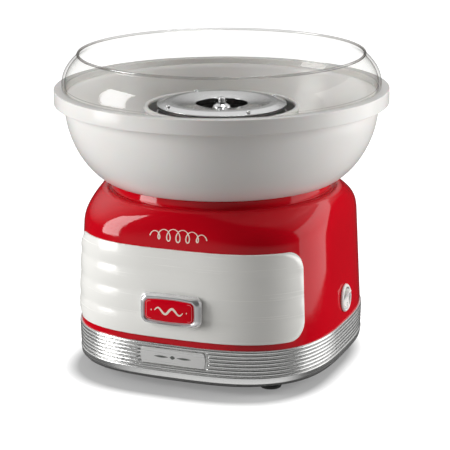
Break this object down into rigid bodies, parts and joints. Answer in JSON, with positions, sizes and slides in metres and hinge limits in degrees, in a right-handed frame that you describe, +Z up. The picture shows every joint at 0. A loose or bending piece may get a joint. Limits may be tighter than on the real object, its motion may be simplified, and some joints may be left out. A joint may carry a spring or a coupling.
{
  "type": "cotton candy machine",
  "caption": "Table-top cotton candy machine: squared red housing on a ribbed trim ring, round bowl with a clear splash guard, spinning sugar head over a ring heater, side rocker switch.",
  "frame": {"origin": "centre of the machine in plan, on the surface that its four feet stand on", "axes": "+Z up along the head's spin axis, -Y towards the front panel, +X towards the switch"},
  "size_m": [0.295, 0.295, 0.2758],
  "materials": {
    "red_gloss": "high gloss moulded red",
    "white_gloss": "gloss moulded off-white",
    "pearl_panel": "pearly off-white with a faint brushed look",
    "satin_silver": "satin silver lacquer",
    "badge_chrome": "bright plated",
    "clear_plastic": "clear moulded plastic",
    "polished_aluminium": "polished",
    "sheet_steel": "plain bright sheet and screws",
    "black_plastic": "fine matt moulded black",
    "black_rubber": "soft matt rubber",
    "ceramic": "unglazed steatite and mica",
    "circuit_board": "green board with parts",
    "copper_winding": "enamelled copper and bronze",
    "ferrite": "sintered ferrite"
  },
  "bodies": {
    "base": {"base_pan": "black_plastic", "foot_1": "black_rubber", "base_screw_1": "sheet_steel", "foot_2": "black_rubber", "base_screw_2": "sheet_steel", "foot_3": "black_rubber", "base_screw_3": "sheet_steel", "foot_4": "black_rubber", "base_screw_4": "sheet_steel", "trim_ring": "satin_silver", "name_plate": "satin_silver", "housing": "red_gloss", "front_panel": "pearl_panel", "badge_frame": "badge_chrome", "badge_insert": "red_gloss", "switch_bezel": "white_gloss", "switch_body": "black_plastic", "cord_gland": "black_plastic", "heater_cup": "sheet_steel", "cup_screw_1": "sheet_steel", "cup_screw_2": "sheet_steel", "cup_screw_3": "sheet_steel", "heat_shield": "ceramic", "heating_element": "sheet_steel", "leg_insulator_1": "ceramic", "leg_insulator_2": "ceramic", "element_support_1": "ceramic", "element_support_2": "ceramic", "element_support_3": "ceramic", "thermal_fuse": "ceramic", "motor_plate": "sheet_steel", "motor_mount_1": "black_rubber", "mount_screw_1": "sheet_steel", "motor_mount_2": "black_rubber", "mount_screw_2": "sheet_steel", "motor_mount_3": "black_rubber", "mount_screw_3": "sheet_steel", "motor_can": "sheet_steel", "motor_end_cap": "black_plastic", "upper_bearing": "copper_winding", "lower_bearing": "copper_winding", "motor_magnet_1": "ferrite", "motor_magnet_2": "ferrite", "rectifier_board": "circuit_board"},
    "rotor": {"armature": "copper_winding", "motor_shaft": "sheet_steel", "drive_pin": "sheet_steel", "cooling_fan": "black_plastic"},
    "head": {"head_pan": "polished_aluminium", "head_cover": "polished_aluminium", "head_hub": "polished_aluminium", "head_knob": "badge_chrome", "head_rivet_1": "polished_aluminium", "head_rivet_2": "polished_aluminium", "head_rivet_3": "polished_aluminium", "head_rivet_4": "polished_aluminium"},
    "bowl": {"bowl": "white_gloss"},
    "guard": {"guard": "clear_plastic"},
    "rocker": {"switch_rocker": "white_gloss"}
  },
  "joints": [
    {"name": "head_spin", "type": "hinge", "parent": "base", "child": "rotor", "pos_m": [0, 0, 0.15], "axis": [0, 0, 1], "continuous": true},
    {"name": "head_lift", "type": "slide", "parent": "rotor", "child": "head", "axis": [0, 0, 1], "range_m": [0, 0.05]},
    {"name": "bowl_lift", "type": "slide", "parent": "base", "child": "bowl", "axis": [0, 0, 1], "range_m": [0, 0.1]},
    {"name": "guard_lift", "type": "slide", "parent": "bowl", "child": "guard", "axis": [0, 0, 1], "range_m": [0, 0.05]},
    {"name": "switch_rock", "type": "hinge", "parent": "base", "child": "rocker", "pos_m": [0.11512, 0, 0.06146], "axis": [0, -1, 0], "range_deg": [0, 24]}
  ]
}
